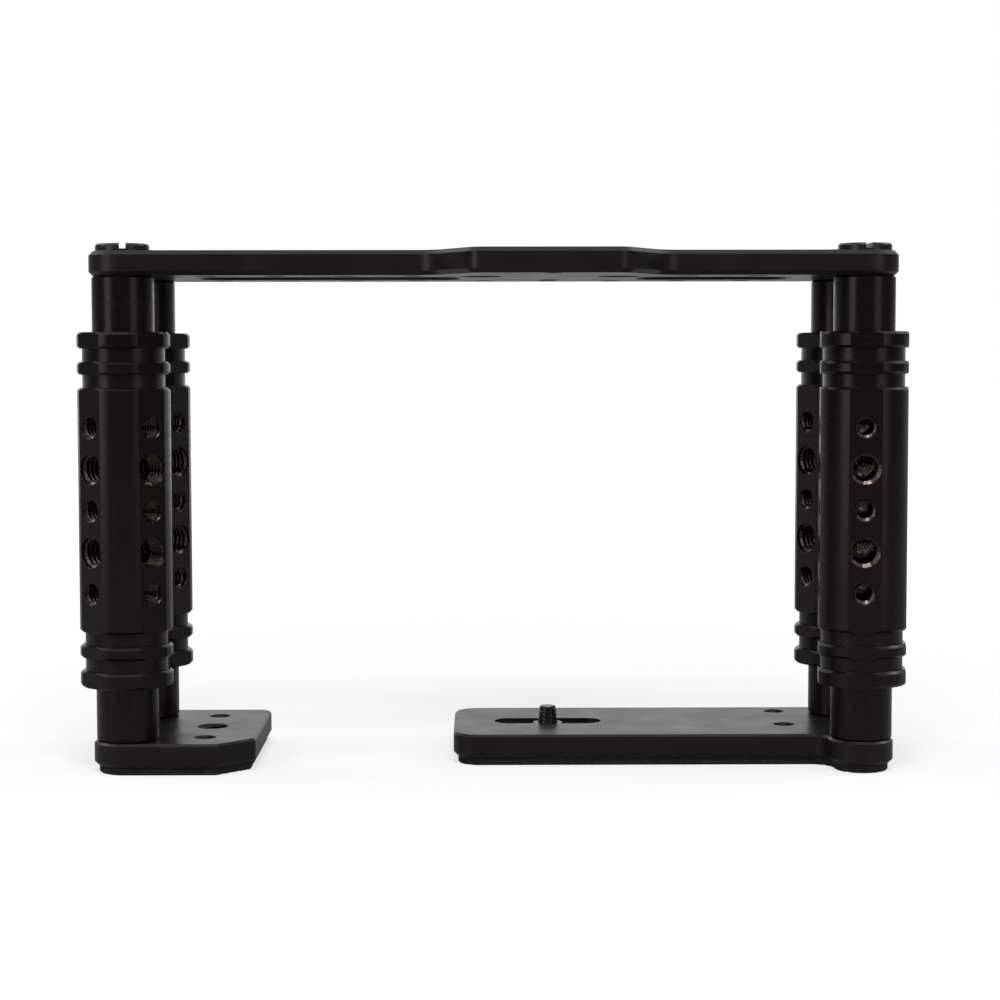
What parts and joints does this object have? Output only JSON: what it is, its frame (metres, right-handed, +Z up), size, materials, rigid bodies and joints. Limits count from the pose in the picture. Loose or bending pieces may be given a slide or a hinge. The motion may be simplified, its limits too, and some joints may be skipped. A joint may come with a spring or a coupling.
{
  "type": "camera cage",
  "caption": "Cage of two plates and turned, cross-drilled corner posts that carries accessories around a camera body.",
  "frame": {"origin": "midway between the four post axes, on the plane that the pads stand on", "axes": "+X along the long side towards the base piece with the slot, +Y to the back, +Z up"},
  "size_m": [0.2564, 0.094, 0.163],
  "materials": {
    "plate_aluminium": "bead blasted, black anodised",
    "post_aluminium": "turned and milled, satin black anodised",
    "pad_rubber": "matte black rubber",
    "black_steel": "black oxide",
    "spring_steel": "plain spring steel"
  },
  "bodies": {
    "cage_frame": {"top_plate": "plate_aluminium", "base_plate": "plate_aluminium", "foot_plate": "plate_aluminium", "base_pad": "pad_rubber", "foot_pad": "pad_rubber", "base_screw_front_left": "black_steel", "base_screw_front_right": "black_steel", "base_screw_rear_left": "black_steel", "base_screw_rear_right": "black_steel", "lock_washer_front_left": "spring_steel", "lock_washer_front_right": "spring_steel", "lock_washer_rear_left": "spring_steel", "lock_washer_rear_right": "spring_steel"},
    "front_left_post": {"post_front_left": "post_aluminium"},
    "front_right_post": {"post_front_right": "post_aluminium"},
    "rear_left_post": {"post_rear_left": "post_aluminium"},
    "rear_right_post": {"post_rear_right": "post_aluminium"},
    "front_left_screw": {"top_screw_front_left": "black_steel"},
    "front_right_screw": {"top_screw_front_right": "black_steel"},
    "rear_left_screw": {"top_screw_rear_left": "black_steel"},
    "rear_right_screw": {"top_screw_rear_right": "black_steel"},
    "slide_washer": {"mounting_screw_washer": "spring_steel"},
    "captive_screw": {"mounting_screw": "black_steel", "mounting_screw_clip": "spring_steel"}
  },
  "joints": [
    {"name": "front_left_post_turn", "type": "hinge", "parent": "cage_frame", "child": "front_left_post", "pos_m": [-0.114, -0.0237, 0.0815], "axis": [0, 0, 1], "continuous": true},
    {"name": "front_right_post_turn", "type": "hinge", "parent": "cage_frame", "child": "front_right_post", "pos_m": [0.114, -0.0237, 0.0815], "axis": [0, 0, 1], "continuous": true},
    {"name": "rear_left_post_turn", "type": "hinge", "parent": "cage_frame", "child": "rear_left_post", "pos_m": [-0.114, 0.0237, 0.0815], "axis": [0, 0, 1], "continuous": true},
    {"name": "rear_right_post_turn", "type": "hinge", "parent": "cage_frame", "child": "rear_right_post", "pos_m": [0.114, 0.0237, 0.0815], "axis": [0, 0, 1], "continuous": true},
    {"name": "front_left_screw_loosen", "type": "hinge", "parent": "cage_frame", "child": "front_left_screw", "pos_m": [-0.114, -0.0237, 0.1607], "axis": [0, 0, 1], "range_deg": [0, 360]},
    {"name": "front_right_screw_loosen", "type": "hinge", "parent": "cage_frame", "child": "front_right_screw", "pos_m": [0.114, -0.0237, 0.1607], "axis": [0, 0, 1], "range_deg": [0, 360]},
    {"name": "rear_left_screw_loosen", "type": "hinge", "parent": "cage_frame", "child": "rear_left_screw", "pos_m": [-0.114, 0.0237, 0.1607], "axis": [0, 0, 1], "range_deg": [0, 360]},
    {"name": "rear_right_screw_loosen", "type": "hinge", "parent": "cage_frame", "child": "rear_right_screw", "pos_m": [0.114, 0.0237, 0.1607], "axis": [0, 0, 1], "range_deg": [0, 360]},
    {"name": "mounting_slide", "type": "slide", "parent": "cage_frame", "child": "slide_washer", "axis": [1, 0, 0], "range_m": [-0.012, 0.012]},
    {"name": "mounting_screw_turn", "type": "hinge", "parent": "slide_washer", "child": "captive_screw", "pos_m": [0.0174, 0.00915, 0.0099], "axis": [0, 0, 1], "continuous": true}
  ]
}
